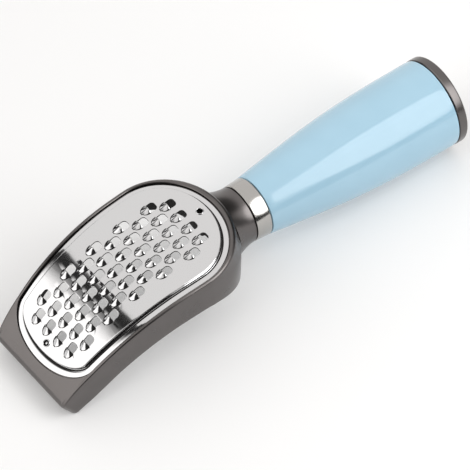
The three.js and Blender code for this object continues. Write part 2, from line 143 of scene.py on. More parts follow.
def extrude_rings(name, rings, closed=False):
    """A circle extruded from ring to ring. Each point keeps its station, so that it finds its place."""
    bpy.ops.object.select_all(action="DESELECT")
    bpy.ops.mesh.primitive_circle_add(vertices=len(rings[0]), radius=1.0)
    piece = bpy.context.object
    piece.name = piece.data.name = name
    bpy.ops.object.mode_set(mode="EDIT")
    mesh = bmesh.from_edit_mesh(piece.data)
    station = mesh.verts.layers.int.new("station")
    for index, vert in enumerate(mesh.verts):
        vert[station] = index
        vert.co = rings[0][index]
    for ring in rings[1:] + rings[:1] * closed:
        bpy.ops.mesh.extrude_edges_indiv()
        mesh = bmesh.from_edit_mesh(piece.data)
        station = mesh.verts.layers.int["station"]
        for vert in mesh.verts:
            if vert.select:
                vert.co = ring[vert[station]]
    bpy.ops.mesh.select_all(action="SELECT")
    bpy.ops.mesh.remove_doubles(threshold=0.0005)
    bpy.ops.mesh.normals_make_consistent(inside=False)
    bpy.ops.object.mode_set(mode="OBJECT")
    return piece


# The outline at each millimetre of depth, and the inward normal at each of its stations.
deepest = 33
depth_edges = [casting_edge(depth) for depth in range(deepest + 1)]
outer_edge = depth_edges[0]
stations = range(len(outer_edge))
normals = []
for i in stations:
    run = outer_edge[(i + 1) % len(outer_edge)] - outer_edge[i - 1]
    normals.append(Vector((run.y, -run.x)).normalized())


def casting_ring(inward, heights):
    """The casting's outline at each station's height, moved inwards along its normal."""
    ring = []
    for i in stations:
        depth = max(-heights[i], 0.0)
        above = int(depth)
        place = depth_edges[above][i].lerp(depth_edges[above + 1][i], depth - above)
        place += normals[i] * inward[i]
        ring.append(Vector((place.x, place.y, heights[i])))
    return ring


def level_ring(edge, height):
    return [Vector((u, y, height)) for u, y in edge]


# At each station: the rim's rounding, the skirt's lower edge with its dip and the webs beside the neck, and
# the rounding of that edge.
rim_height = [rim_top(u) for u, _ in outer_edge]
edge_round = []
skirt_height = []
foot = []
for i in stations:
    u = outer_edge[i].x
    side = side_rim_round + (front_side_round - side_rim_round) * smooth_step(u, *side_round_change)
    to_rear, to_front = max(normals[i].x, 0.0) ** 2, max(-normals[i].x, 0.0) ** 2
    edge_round.append(side + (rear_rim_round - side) * to_rear + (front_rim_round - side) * to_front)
    taper = max(u - rear_round, 0.0) / (head_length - rear_round)
    before = max(dip_start - u, 0.0)
    dip = dip_slope * (before**2 / (2 * dip_blend) if before < dip_blend else before - dip_blend / 2)
    dip += web_drop * smooth_step(u, *web_inner) * (1 - smooth_step(u, *web_outer))
    skirt_height.append(-skirt_rear + (skirt_rear - skirt_front) * taper - dip)
    foot.append(skirt_round + (foot_round - skirt_round) * smooth_step(u, *foot_round_change))

# Rings once round the casting's section: land, rounded rim, wall, foot, inside, ledge and recess.
rim_rings = []
for turn in quarter_turn(rim_steps):
    inward = [r * (1 - math.sin(turn)) for r in edge_round]
    heights = [h - r * (1 - math.cos(turn)) for h, r in zip(rim_height, edge_round)]
    rim_rings.append(casting_ring(inward, heights))
for point in rim_rings[0]:
    point.z = rim_top(point.x)
land_start = [Vector((u, y, rim_top(u))) for u, y in plate_edge(-seat_gap - recess_round)]
land_rings = []
for share in (0.0, *between):
    ring = [a.lerp(b, share) for a, b in zip(land_start, rim_rings[0])]
    land_rings.append([Vector((p.x, p.y, rim_top(p.x))) for p in ring])
wall_rings = []
wall_top = [h - r for h, r in zip(rim_height, edge_round)]
for share in between:
    heights = [a + (b + f - a) * share for a, b, f in zip(wall_top, skirt_height, foot)]
    wall_rings.append(casting_ring([0.0] * len(heights), heights))
foot_rings = []
for turn in quarter_turn(foot_steps):
    inward = [f * (1 - math.cos(turn)) for f in foot]
    heights = [h + f * (1 - math.sin(turn)) for h, f in zip(skirt_height, foot)]
    foot_rings.append(casting_ring(inward, heights))
inside_rings = []
for turn in quarter_turn(inner_steps):
    inward = [wall - inner_round * (1 - math.sin(turn))] * len(outer_edge)
    heights = [h + inner_round * (1 - math.cos(turn)) for h in skirt_height]
    inside_rings.append(casting_ring(inward, heights))
inside_rings.append(casting_ring([wall] * len(outer_edge), [ledge_bottom] * len(outer_edge)))
window = plate_edge(flange_side - seat_gap)
seat = plate_edge(-seat_gap)
ledge_rings = [
    level_ring(window, ledge_bottom),
    level_ring(window, ledge_top),
    level_ring(seat, ledge_top),
    [Vector((u, y, rim_top(u) - recess_round)) for u, y in seat],
]
head = extrude_rings(
    "head_casting",
    land_rings + rim_rings + wall_rings + foot_rings + inside_rings + ledge_rings,
    closed=True,
)

# The faces below the ledge that look at the middle of the head take a darker copy of the casting's metal:
# painted shade for the inside under the plate.
inside_look = 3.0
for face in head.data.polygons:
    middle = Vector((min(max(face.center.x, rear_round), head_length - rear_round), 0.0))
    towards = face.normal.xy.dot(middle - face.center.xy)
    face.material_index = int(face.center.z < ledge_bottom and towards > inside_look)

# The arch: a straight rear run, a long bend and a straight front, in the tool's frame along the handle axis.
rim_rear = Vector((-19.6, 0.0, 17.0))
rear_slope, front_slope = math.radians(6.8), math.radians(39.5)
arch_radius, rear_run = 90.0, 36.0
arch_run = arch_radius * (front_slope - rear_slope)


def along_arch(slope):
    return Vector((-math.cos(slope), 0.0, -math.sin(slope)))


def across_arch(slope):
    return Vector((-math.sin(slope), 0.0, math.cos(slope)))


arch_centre = rim_rear + along_arch(rear_slope) * rear_run - across_arch(rear_slope) * arch_radius


def lay_on_arch(piece):
    for vert in piece.data.vertices:
        u, y, h = vert.co
        on_bend = min(max(u, rear_run), rear_run + arch_run)
        slope = rear_slope + (on_bend - rear_run) / arch_radius
        place = arch_centre + across_arch(slope) * (arch_radius + h) + along_arch(slope) * (u - on_bend)
        vert.co = place + Vector((0.0, -y, 0.0))
    bpy.ops.object.mode_set(mode="EDIT")
    bpy.ops.mesh.select_all(action="SELECT")
    bpy.ops.mesh.normals_make_consistent(inside=False)
    bpy.ops.object.mode_set(mode="OBJECT")


lay_on_arch(head)

# The neck is turned about the handle axis: a root inside the head, a flare, a seat for the ferrule, a tang.
neck_radius, neck_flare = 13.0, 2.6
flare_start, flare_run, neck_end = -18.4, 6.0, -8.0
root_length = 2.5
neck_edge = 0.25
ferrule_seat_radius = 12.0
tang_radius, tang_length = 8.6, 15.0
root_steps, flare_steps, neck_sides = 9, 16, 96


def turned_rings(profile, count):
    angles = [2 * math.pi * i / count for i in range(count)]
    return [[Vector((x, r * math.cos(a), r * math.sin(a))) for a in angles] for x, r in profile]


neck_profile = []
for turn in quarter_turn(root_steps)[:-1]:
    x = flare_start - root_length * math.cos(turn)
    neck_profile.append((x, (neck_radius + neck_flare) * math.sin(turn)))
for step in range(flare_steps + 1):
    t = step / flare_steps
    x = (1 - t) ** 2 * flare_start + 2 * t * (1 - t) * (flare_start + flare_run)
    x += t * t * (neck_end - neck_edge)
    neck_profile.append((x, neck_radius + neck_flare * (1 - t) ** 2))
neck_profile += [(neck_end, neck_radius - neck_edge), (neck_end, ferrule_seat_radius)]
neck_profile += [(-seat_gap, ferrule_seat_radius), (-seat_gap, tang_radius)]
neck_profile += [(tang_length, tang_radius), (tang_length, 0.0)]
neck = extrude_rings("neck", turned_rings(neck_profile, neck_sides))
# The root's faces inside the head take the casting's painted shade.
for face in neck.data.polygons:
    face.material_index = int(face.center.x < flare_start)


def apply_modifier(piece, kind, **settings):
    bpy.ops.object.select_all(action="DESELECT")
    piece.select_set(True)
    bpy.context.view_layer.objects.active = piece
    modifier = piece.modifiers.new(kind.lower(), kind)
    for name, value in settings.items():
        setattr(modifier, name, value)
    bpy.ops.object.modifier_apply(modifier=modifier.name)


apply_modifier(head, "BOOLEAN", operation="UNION", object=neck, solver="EXACT")
bpy.data.objects.remove(neck)

# Two lugs carry the plate's rivets: a tongue of the ledge under each end of the plate, with a drilled boss.
rivet_places = (8.9, 94.8)
lug_radius, lug_bore, boss_top = 2.9, 1.6, 0.3
tongue_skin = 0.1
drill_length, lug_sides = 20.0, 48
for along, ledge_end in zip(rivet_places, (rim_land_rear, head_length - rim_land_front)):
    middle = Matrix.Translation((along, 0.0, (boss_top + ledge_bottom) / 2))
    bpy.ops.object.select_all(action="DESELECT")
    bpy.ops.mesh.primitive_cylinder_add(vertices=lug_sides, radius=lug_bore, depth=drill_length)
    drill = bpy.context.object
    drill.data.transform(middle)
    bpy.ops.mesh.primitive_cube_add(size=1.0)
    tongue = bpy.context.object
    length, height = abs(along - ledge_end), ledge_top - ledge_bottom - 2 * tongue_skin
    tongue.data.transform(Matrix.Diagonal((length, 2 * lug_radius, height, 1.0)))
    tongue_middle = ((along + ledge_end) / 2, 0.0, (ledge_top + ledge_bottom) / 2)
    tongue.data.transform(Matrix.Translation(tongue_middle))
    bpy.ops.mesh.primitive_cylinder_add(vertices=lug_sides, radius=lug_radius, depth=boss_top - ledge_bottom)
    lug = bpy.context.object
    lug.data.transform(middle)
    apply_modifier(lug, "BOOLEAN", operation="UNION", object=tongue, solver="EXACT")
    apply_modifier(lug, "BOOLEAN", operation="DIFFERENCE", object=drill, solver="EXACT")
    lay_on_arch(lug)
    # The lugs under the plate take the casting's painted shade.
    for face in lug.data.polygons:
        face.material_index = 1
    apply_modifier(head, "BOOLEAN", operation="UNION", object=lug, solver="EXACT")
    for tool in (drill, tongue, lug):
        bpy.data.objects.remove(tool)

# At rest the tool lies on its front foot and its end cap: the cap's face in the record gives the handle axis.
# The front foot is cut flat where it stands.
cap_end = 98.9
cap_face = next(m for m in frame["record"]["mounts"] if m["name"] == "end_cap_face")
axis = Vector(cap_face["axis"])
origin = Vector(cap_face["pos_m"]) * 1000 - axis * cap_end
at_rest = Matrix.Translation(origin) @ axis.to_track_quat("X", "Z").to_matrix().to_4x4()
to_metres = Matrix.Scale(0.001, 4)
head.data.transform(at_rest)
bpy.ops.object.mode_set(mode="EDIT")
bpy.ops.mesh.select_all(action="SELECT")
bpy.ops.mesh.bisect(plane_co=(0, 0, 0), plane_no=(0, 0, 1), use_fill=True, clear_inner=True, threshold=0.001)
bpy.ops.object.mode_set(mode="OBJECT")
head.data.transform(to_metres)
bpy.ops.object.shade_smooth_by_angle(angle=math.radians(32))


def srgb(code):
    parts = [int(code[i:i + 2], 16) / 255 for i in (1, 3, 5)]
    return [p / 12.92 if p <= 0.04045 else ((p + 0.055) / 1.055) ** 2.4 for p in parts] + [1.0]


def add_node(tree, kind, inputs, **settings):
    node = tree.nodes.new(kind)
    for name, value in settings.items():
        setattr(node, name, value)
    for socket, value in inputs.items():
        if isinstance(value, bpy.types.NodeSocket):
            tree.links.new(value, node.inputs[socket])
        else:
            node.inputs[socket].default_value = value
    return node


def new_finish(name):
    """A material named for its finish, with its nodes, its shader and the piece's own coordinates."""
    finish = bpy.data.materials.new(name)
    finish.use_nodes = True
    nodes = finish.node_tree.nodes
    coords = nodes.new("ShaderNodeTexCoord").outputs["Object"]
    return finish, finish.node_tree, nodes["Principled BSDF"], coords


# Gunmetal plating on a die casting: satin and even, with a slight mottle about 9 mm across from the polishing
# and a fine grain left by the mould, about 0.5 mm, under the plating. A colour mix has its two colours in
# sockets 6 and 7.
gunmetal, tree, shader, coords = new_finish("gunmetal_plated_zinc")
mottle = add_node(tree, "ShaderNodeTexNoise", {"Vector": coords, "Scale": 1 / 0.009, "Detail": 3.0})
tone = add_node(tree, "ShaderNodeMix", {
    0: mottle.outputs["Fac"], 6: srgb("#646160"), 7: srgb("#6E6A69"),
}, data_type="RGBA")
gloss = add_node(tree, "ShaderNodeMapRange", {
    "Value": mottle.outputs["Fac"], "To Min": 0.24, "To Max": 0.34,
})
grain = add_node(tree, "ShaderNodeTexNoise", {"Vector": coords, "Scale": 1 / 0.0005, "Detail": 2.0})
relief = add_node(tree, "ShaderNodeBump", {
    "Height": grain.outputs["Fac"], "Strength": 0.06, "Distance": 0.00005,
})
shader.inputs["Metallic"].default_value = 1.0
tree.links.new(tone.outputs[2], shader.inputs["Base Color"])
tree.links.new(gloss.outputs["Result"], shader.inputs["Roughness"])
tree.links.new(relief.outputs["Normal"], shader.inputs["Normal"])

# The casting's inside: painted shade, a dark and dull copy of the gunmetal, slightly rough, in patches about
# 3 mm across.
shaded_inside, tree, shader, coords = new_finish("painted_shade_inside_casting")
patches = add_node(tree, "ShaderNodeTexNoise", {"Vector": coords, "Scale": 1 / 0.003, "Detail": 3.0})
tone = add_node(tree, "ShaderNodeMix", {
    0: patches.outputs["Fac"], 6: srgb("#2C2B2B"), 7: srgb("#3A3938"),
}, data_type="RGBA")
shader.inputs["Metallic"].default_value = 1.0
shader.inputs["Roughness"].default_value = 0.6
tree.links.new(tone.outputs[2], shader.inputs["Base Color"])
head.data.materials.append(gunmetal)
head.data.materials.append(shaded_inside)
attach(head, "root")
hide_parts("head_frame")

# Grater plate: stainless sheet, pressed to a dish with a flange all round and a raised panel.
# Each of its 49 teeth is a punched hole whose front edge is pushed up to an arched, closed hood.
# One tooth is drawn as a patch of the sheet and copied, and the sheet gets its thickness last.

# Polished stainless sheet: nearly a mirror, with fine rolling lines along it. The real lines are a few
# hundredths of a millimetre apart, drawn 0.25 mm apart and 20 mm long so that they show at all.
stainless, tree, shader, coords = new_finish("polished_stainless_sheet")
stretch = add_node(tree, "ShaderNodeMapping", {"Vector": coords, "Scale": (1 / 0.02, 1 / 0.00025, 1 / 0.02)})
lines = add_node(tree, "ShaderNodeTexNoise", {
    "Vector": stretch.outputs["Vector"], "Scale": 1.0, "Detail": 2.0,
})
gloss = add_node(tree, "ShaderNodeMapRange", {"Value": lines.outputs["Fac"], "To Min": 0.05, "To Max": 0.1})
relief = add_node(tree, "ShaderNodeBump", {
    "Height": lines.outputs["Fac"], "Strength": 0.04, "Distance": 0.00002,
})
shader.inputs["Base Color"].default_value = srgb("#D3D3D4")
shader.inputs["Metallic"].default_value = 1.0
tree.links.new(gloss.outputs["Result"], shader.inputs["Roughness"])
tree.links.new(relief.outputs["Normal"], shader.inputs["Normal"])

# Dull dark steel, torn in lines about 0.1 mm apart: the sheared fracture of the sheet's cut edges, and
# painted shade on its rounded edges, in the groove round each hood, in the crease at the step's foot and in
# the rivets' cores.
sheared_and_shade, tree, shader, coords = new_finish("sheared_edge_and_painted_shade")
tear = add_node(tree, "ShaderNodeTexNoise", {"Vector": coords, "Scale": 1 / 0.0001, "Detail": 2.0})
tone = add_node(tree, "ShaderNodeMix", {
    0: tear.outputs["Fac"], 6: srgb("#1E1D1D"), 7: srgb("#3A3938"),
}, data_type="RGBA")
shader.inputs["Metallic"].default_value = 1.0
shader.inputs["Roughness"].default_value = 0.5
tree.links.new(tone.outputs[2], shader.inputs["Base Color"])

sheet = 0.6
flange_top, panel_top = -0.9, 1.2
row_pitch, tooth_pitch = 7.21, 7.55
first_row, row_count, long_row = 15.6, 11, 5
hole_rear, hole_side, hole_round, mouth = -1.9, 2.2, 1.6, 2.0
hood_length, hood_height, hood_side = 3.4, 1.45, 2.1
hood_tip, plan_power, crown_power = 0.985, 2.2, 1.4
patch_margin, groove, groove_depth = 0.42, 0.2, 0.18
mouth_row, hood_rows, half_columns = 2, 10, 7
flat_share, margin_sweep = 0.2, 0.95

# Rows of points across the patch: its rear margin, the hole's round rear, the hood from mouth to tip, the
# shallow groove that pressing leaves round the hood, and the front margin.
patch_rows, patch_columns = mouth_row + hood_rows + 2, half_columns + 2
bpy.ops.object.select_all(action="DESELECT")
bpy.ops.mesh.primitive_grid_add(x_subdivisions=patch_rows, y_subdivisions=2 * patch_columns, size=1.0)
patch = bpy.context.object
bpy.ops.object.mode_set(mode="EDIT")
bpy.ops.mesh.select_mode(type="FACE")
mesh = bmesh.from_edit_mesh(patch.data)
tag = mesh.verts.layers.int.new("field_edge")
in_groove = mesh.verts.layers.int.new("in_groove")
rear_flat = hole_side - hole_round
spot = {}
for vert in mesh.verts:
    row = round((vert.co.x + 0.5) * patch_rows)
    col = round((vert.co.y + 0.5) * 2 * patch_columns) - patch_columns
    spot[vert] = row, col
    beyond = {half_columns + 1: groove, patch_columns: patch_margin}.get(abs(col), 0.0)
    if row < mouth_row:
        share = min(abs(col) / half_columns, 1.0)
        reach = hole_round + beyond
        if row == 0:
            share = abs(col) / patch_columns * margin_sweep
            reach = hole_round + patch_margin
        turn = math.pi / 2 * max(share - flat_share, 0.0) / (1 - flat_share)
        x = hole_rear + hole_round - reach * math.cos(turn)
        y = min(share / flat_share, 1.0) * rear_flat + reach * math.sin(turn)
        h = 0.0
    else:
        run = hood_tip * math.sin(math.pi / 2 * min((row - mouth_row) / hood_rows, 1.0))
        width = hood_side * math.sqrt(1 - run**plan_power)
        t = min(abs(col) / half_columns, 1.0)
        x, y = mouth + hood_length * run, width * t + beyond
        h = hood_height * (1 - run) * (1 - t**crown_power)
        past = {patch_rows - 1: groove, patch_rows: patch_margin}.get(row, 0.0)
        if past:
            x, y, h = x + past, (width + past) * abs(col) / patch_columns, 0.0
        if row > mouth_row and max(beyond, past) == groove:
            h = -groove_depth
            vert[in_groove] = 1
    if row in (0, patch_rows) or abs(col) == patch_columns:
        vert[tag] = 1
    vert.co = x, math.copysign(y, col), panel_top + h
for face in mesh.faces:
    first = min(spot[v][0] for v in face.verts)
    widest = max(abs(spot[v][1]) for v in face.verts)
    face.select_set(first == mouth_row - 1 and widest <= half_columns)
bpy.ops.mesh.delete(type="FACE")
bpy.ops.object.mode_set(mode="OBJECT")

# The rest of the sheet, from the panel out over its rounded step to the flange's edge: (inset, height) pairs.
# The crease at the step's foot is painted dark with the edge material: painted shade.
field_inset, panel_inset = 4.9, 4.2
step_wall, step_round, step_foot = 3.2, 0.5, 0.15
crease_start, crease_stop, crease_rise, crease_depth = 2.74, 2.4, 2.22, 0.14
flange_middle, flange_rim = 1.3, 0.15
step_steps, step_foot_steps = 6, 3
step_profile = [(field_inset, panel_top), (panel_inset, panel_top)]
for turn in quarter_turn(step_steps):
    inset = step_wall + step_round * (1 - math.sin(turn))
    step_profile.append((inset, panel_top - step_round * (1 - math.cos(turn))))
for turn in quarter_turn(step_foot_steps):
    inset = flange_side - step_foot * (1 - math.cos(turn))
    step_profile.append((inset, flange_top + step_foot * (1 - math.sin(turn))))
step_profile += [(inset, flange_top - crease_depth) for inset in (crease_start, crease_stop)]
step_profile += [(inset, flange_top) for inset in (crease_rise, flange_middle, flange_rim)]
plate = extrude_rings("grater_plate_sheet", [level_ring(plate_edge(inset), h) for inset, h in step_profile])
bpy.ops.object.mode_set(mode="EDIT")
mesh = bmesh.from_edit_mesh(plate.data)
tag = mesh.verts.layers.int.new("field_edge")
station = mesh.verts.layers.int["station"]
inner_edge = level_ring(plate_edge(field_inset), panel_top)
same_place = 0.0001
for vert in mesh.verts:
    if (vert.co - inner_edge[vert[station]]).length < same_place:
        vert[tag] = 1
bpy.ops.object.mode_set(mode="OBJECT")

# The teeth, in rows of four and five, and an eyelet for each rivet.
eyelet_rim, eyelet_bore, eyelet_sides = 1.85, 1.45, 24
teeth = []
for row in range(row_count):
    count = long_row - 1 + row % 2
    for i in range(count):
        tooth = bpy.data.objects.new("tooth", patch.data.copy())
        bpy.context.collection.objects.link(tooth)
        shift = (first_row + row * row_pitch, (i - (count - 1) / 2) * tooth_pitch, 0.0)
        tooth.data.transform(Matrix.Translation(shift))
        teeth.append(tooth)
bpy.data.objects.remove(patch)


def round_rings(along, profile, count):
    """Rings about an upright axis on the plate's middle line, for (radius, height above the panel) pairs."""
    angles = [2 * math.pi * i / count for i in range(count)]
    return [
        [Vector((along + r * math.cos(a), r * math.sin(a), panel_top + h)) for a in angles]
        for r, h in profile
    ]


eyelet_profile = [(eyelet_rim, 0.0), (eyelet_bore, 0.0)]
for along in rivet_places:
    eyelet = extrude_rings("eyelet", round_rings(along, eyelet_profile, eyelet_sides))
    tag = eyelet.data.attributes.new("field_edge", "INT", "POINT")
    for vert in eyelet.data.vertices:
        radius = (vert.co.xy - Vector((along, 0.0))).length
        tag.data[vert.index].value = int(radius > (eyelet_rim + eyelet_bore) / 2)
    teeth.append(eyelet)
bpy.ops.object.select_all(action="DESELECT")
for tooth in teeth:
    tooth.select_set(True)
plate.select_set(True)
bpy.context.view_layer.objects.active = plate
bpy.ops.object.join()

# The field between them is filled, then cut across at short steps so that it bends with the arch. Points that
# these cuts leave close together are merged.
bend_step = 2.2
joint, shortest_edge = 0.01, 0.02
bpy.ops.object.mode_set(mode="EDIT")
bpy.ops.mesh.select_all(action="SELECT")
bpy.ops.mesh.remove_doubles(threshold=joint)
bpy.ops.mesh.select_mode(type="EDGE")
bpy.ops.mesh.select_all(action="DESELECT")
mesh = bmesh.from_edit_mesh(plate.data)
tag = mesh.verts.layers.int["field_edge"]
for edge in mesh.edges:
    edge.select_set(edge.is_boundary and all(v[tag] for v in edge.verts))
bpy.ops.mesh.fill(use_beauty=True)
for i in range(int(arch_run / bend_step) + 2):
    bpy.ops.mesh.select_all(action="SELECT")
    bpy.ops.mesh.bisect(plane_co=(rear_run + i * bend_step, 0, 0), plane_no=(1, 0, 0), threshold=0.001)
bpy.ops.mesh.select_all(action="SELECT")
bpy.ops.mesh.remove_doubles(threshold=shortest_edge)
bpy.ops.mesh.normals_make_consistent(inside=False)
bpy.ops.object.mode_set(mode="OBJECT")
# Faces in the groove round each hood and in the crease at the step's foot take the dark edge material:
# painted shade.
in_groove = plate.data.attributes["in_groove"].data
for face in plate.data.polygons:
    lowest = min(plate.data.vertices[i].co.z for i in face.vertices)
    grooved = any(in_groove[i].value for i in face.vertices)
    face.material_index = int(grooved or lowest < flange_top - crease_depth / 2)
lay_on_arch(plate)
if max(plate.data.polygons, key=lambda face: face.area).normal.z < 0:
    plate.data.flip_normals()
plate.data.materials.append(stainless)
plate.data.materials.append(sheared_and_shade)

# The sheet gets its thickness and rounded edges: its cut edges take the dark sheared material, and the
# roundings take it too, as painted shade that draws their dark outlines. Points that the rounding leaves in
# one place become one.
edge_width, edge_angle = 0.26, math.radians(65)
apply_modifier(plate, "SOLIDIFY", thickness=sheet, offset=-1.0, material_offset_rim=1)
apply_modifier(
    plate, "BEVEL", width=edge_width, segments=2, limit_method="ANGLE", angle_limit=edge_angle, material=1,
)
bpy.ops.object.mode_set(mode="EDIT")
bpy.ops.mesh.select_all(action="SELECT")
bpy.ops.mesh.remove_doubles(threshold=0.00001)
bpy.ops.mesh.delete_loose()
bpy.ops.object.mode_set(mode="OBJECT")
plate.data.transform(to_metres @ at_rest)
bpy.ops.object.shade_smooth_by_angle(angle=math.radians(37))
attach(plate, "root")
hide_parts("grater_plate")

# Plate rivets: two stainless blind rivets on the middle line that hold the plate to the casting's lugs.
# Each has a rolled rim over a shank through the lug, given as (radius, height) pairs. The rear one's core
# is open, the front one's holds its pin.
open_core = [(0.0, -1.4), (1.2, -1.4), (1.3, 0.0)]
pin_core = [(0.0, 0.2), (0.35, 0.17), (0.6, 0.05), (0.72, -0.4), (1.2, -0.4), (1.3, 0.0)]
rim_profile = [(1.35, 0.26), (1.44, 0.4), (1.56, 0.42), (1.68, 0.32), (1.77, 0.14), (1.8, 0.02)]
rim_profile += [(1.4, 0.02), (1.4, -4.5), (0.0, -4.5)]
core_radius, pin_radius = 1.38, 0.65
rivet_sides = 32
rivets = zip(("rear_plate_rivet", "front_plate_rivet"), rivet_places, (open_core, pin_core))
for name, along, core in rivets:
    rivet = extrude_rings(name + "_rim", round_rings(along, core + rim_profile, rivet_sides))
    rivet.data.materials.append(stainless)
    rivet.data.materials.append(sheared_and_shade)
    # The faces inside the rim, in the core, take the dark edge material: painted shade in the hollow.
    for face in rivet.data.polygons:
        reach = max((rivet.data.vertices[i].co.xy - Vector((along, 0.0))).length for i in face.vertices)
        face.material_index = int(pin_radius < reach < core_radius)
    lay_on_arch(rivet)
    rivet.data.transform(to_metres @ at_rest)
    bpy.ops.object.shade_smooth_by_angle(angle=math.radians(50))
    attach(rivet, "root")
    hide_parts(name)

# Ferrule: a turned and polished steel sleeve between neck and handle, slightly wider at the handle.
# It is pressed over the casting's seat, and both its ends are rounded.
ferrule_front, ferrule_rear = -7.55, -0.4
ferrule_front_radius, ferrule_rear_radius, ferrule_bore = 13.1, 13.5, 12.3
ferrule_edge = 0.3
ferrule_edge_steps, ferrule_sides = 4, 128
ferrule_profile = []
for turn in quarter_turn(ferrule_edge_steps):
    drop = ferrule_edge * (1 - math.sin(turn))
    ferrule_profile.append((ferrule_front + ferrule_edge * (1 - math.cos(turn)), ferrule_front_radius - drop))
for turn in quarter_turn(ferrule_edge_steps):
    drop = ferrule_edge * (1 - math.cos(turn))
    ferrule_profile.append((ferrule_rear - ferrule_edge * (1 - math.sin(turn)), ferrule_rear_radius - drop))
ferrule_profile += [(ferrule_rear, ferrule_bore), (ferrule_front, ferrule_bore)]
ferrule = extrude_rings("ferrule_sleeve", turned_rings(ferrule_profile, ferrule_sides), closed=True)
ferrule.data.transform(to_metres @ at_rest)
bpy.ops.object.shade_smooth_by_angle(angle=math.radians(40))

# Mirror-polished steel: faint turning marks round the sleeve, far finer in reality, drawn 0.2 mm apart so
# that they show.
mirror_steel, tree, shader, coords = new_finish("mirror_polished_steel")
stretch = add_node(tree, "ShaderNodeMapping", {"Vector": coords, "Scale": (1 / 0.0002, 1 / 0.02, 1 / 0.02)})
marks = add_node(tree, "ShaderNodeTexNoise", {
    "Vector": stretch.outputs["Vector"], "Scale": 1.0, "Detail": 2.0,
})
gloss = add_node(tree, "ShaderNodeMapRange", {"Value": marks.outputs["Fac"], "To Min": 0.12, "To Max": 0.2})
shader.inputs["Base Color"].default_value = srgb("#B0AEAB")
shader.inputs["Metallic"].default_value = 1.0
tree.links.new(gloss.outputs["Result"], shader.inputs["Roughness"])
ferrule.data.materials.append(mirror_steel)
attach(ferrule, "root")
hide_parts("ferrule")

# Handle: a hollow ABS moulding that swells from the ferrule to the end cap, with a wall inside it near the
# front that the tie screw pulls against the tang. Its outside is one curve, given by its two ends and the
# two points that it bends towards.
handle_length, nose_radius, end_radius = 94.3, 13.65, 20.4
handle_wall, handle_edge, edge_bow = 2.6, 0.45, 0.13
swell = [(0.0, nose_radius), (42.0, 19.25), (52.0, end_radius), (handle_length, end_radius)]
socket_radius, socket_end, wall_end, screw_hole = 8.9, 15.3, 19.3, 2.8
swell_steps, handle_sides = 64, 144


def swell_at(t):
    weights = ((1 - t) ** 3, 3 * t * (1 - t) ** 2, 3 * t * t * (1 - t), t**3)
    return tuple(sum(w * p[k] for w, p in zip(weights, swell)) for k in (0, 1))


outside = [swell_at(i / swell_steps) for i in range(swell_steps + 1)]
inside = [(x, r - handle_wall) for x, r in outside if x > wall_end][::-1]
handle_profile = [(0.0, nose_radius - handle_edge), (edge_bow, nose_radius - edge_bow)]
handle_profile += [p for p in outside if handle_edge < p[0] < handle_length - handle_edge]
handle_profile += [(handle_length - edge_bow, end_radius - edge_bow)]
handle_profile += [(handle_length, end_radius - handle_edge)]
handle_profile += inside + [(wall_end, inside[-1][1]), (wall_end, screw_hole)]
handle_profile += [(socket_end, screw_hole), (socket_end, socket_radius), (0.0, socket_radius)]
handle = extrude_rings("handle_moulding", turned_rings(handle_profile, handle_sides), closed=True)
handle.data.transform(to_metres @ at_rest)
bpy.ops.object.shade_smooth_by_angle(angle=math.radians(35))

# Gloss ABS: smooth and even with a clear gloss, a very slight sink of the moulded skin about 14 mm across
# that makes the edges of reflections waver, and a tone that varies hardly at all.
gloss_abs, tree, shader, coords = new_finish("light_blue_gloss_abs")
sink = add_node(tree, "ShaderNodeTexNoise", {"Vector": coords, "Scale": 1 / 0.014, "Detail": 1.0})
tone = add_node(tree, "ShaderNodeMix", {
    0: sink.outputs["Fac"], 6: srgb("#A0C5D9"), 7: srgb("#A8CCDF"),
}, data_type="RGBA")
relief = add_node(tree, "ShaderNodeBump", {
    "Height": sink.outputs["Fac"], "Strength": 0.15, "Distance": 0.0003,
})
shader.inputs["Roughness"].default_value = 0.1
shader.inputs["IOR"].default_value = 1.54
tree.links.new(tone.outputs[2], shader.inputs["Base Color"])
tree.links.new(relief.outputs["Normal"], shader.inputs["Normal"])
handle.data.materials.append(gloss_abs)
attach(handle, "root")
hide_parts("handle_shell")

# End cap: a disc in the head's gunmetal finish, with a rounded edge, that closes the handle.
# It is cast with a hollow plug, which is pressed into the handle's end.
cap_seat, cap_edge, cap_rim = 94.8, 0.8, 0.25
plug_end, plug_radius, plug_wall = 87.5, 17.5, 2.2
cap_edge_steps = 8
cap_profile = [(cap_seat, 0.0), (cap_seat, plug_radius - plug_wall), (plug_end, plug_radius - plug_wall)]
cap_profile += [(plug_end, plug_radius), (cap_seat, plug_radius), (cap_seat, end_radius - cap_rim)]
cap_profile += [(cap_seat + cap_rim, end_radius)]
for turn in quarter_turn(cap_edge_steps):
    drop = cap_edge * (1 - math.cos(turn))
    cap_profile.append((cap_end - cap_edge * (1 - math.sin(turn)), end_radius - drop))
cap_profile.append((cap_end, 0.0))
cap = extrude_rings("end_cap_disc", turned_rings(cap_profile, handle_sides))
cap.data.transform(to_metres @ at_rest)
bpy.ops.object.shade_smooth_by_angle(angle=math.radians(35))
cap.data.materials.append(gunmetal)
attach(cap, "root")
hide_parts("end_cap")

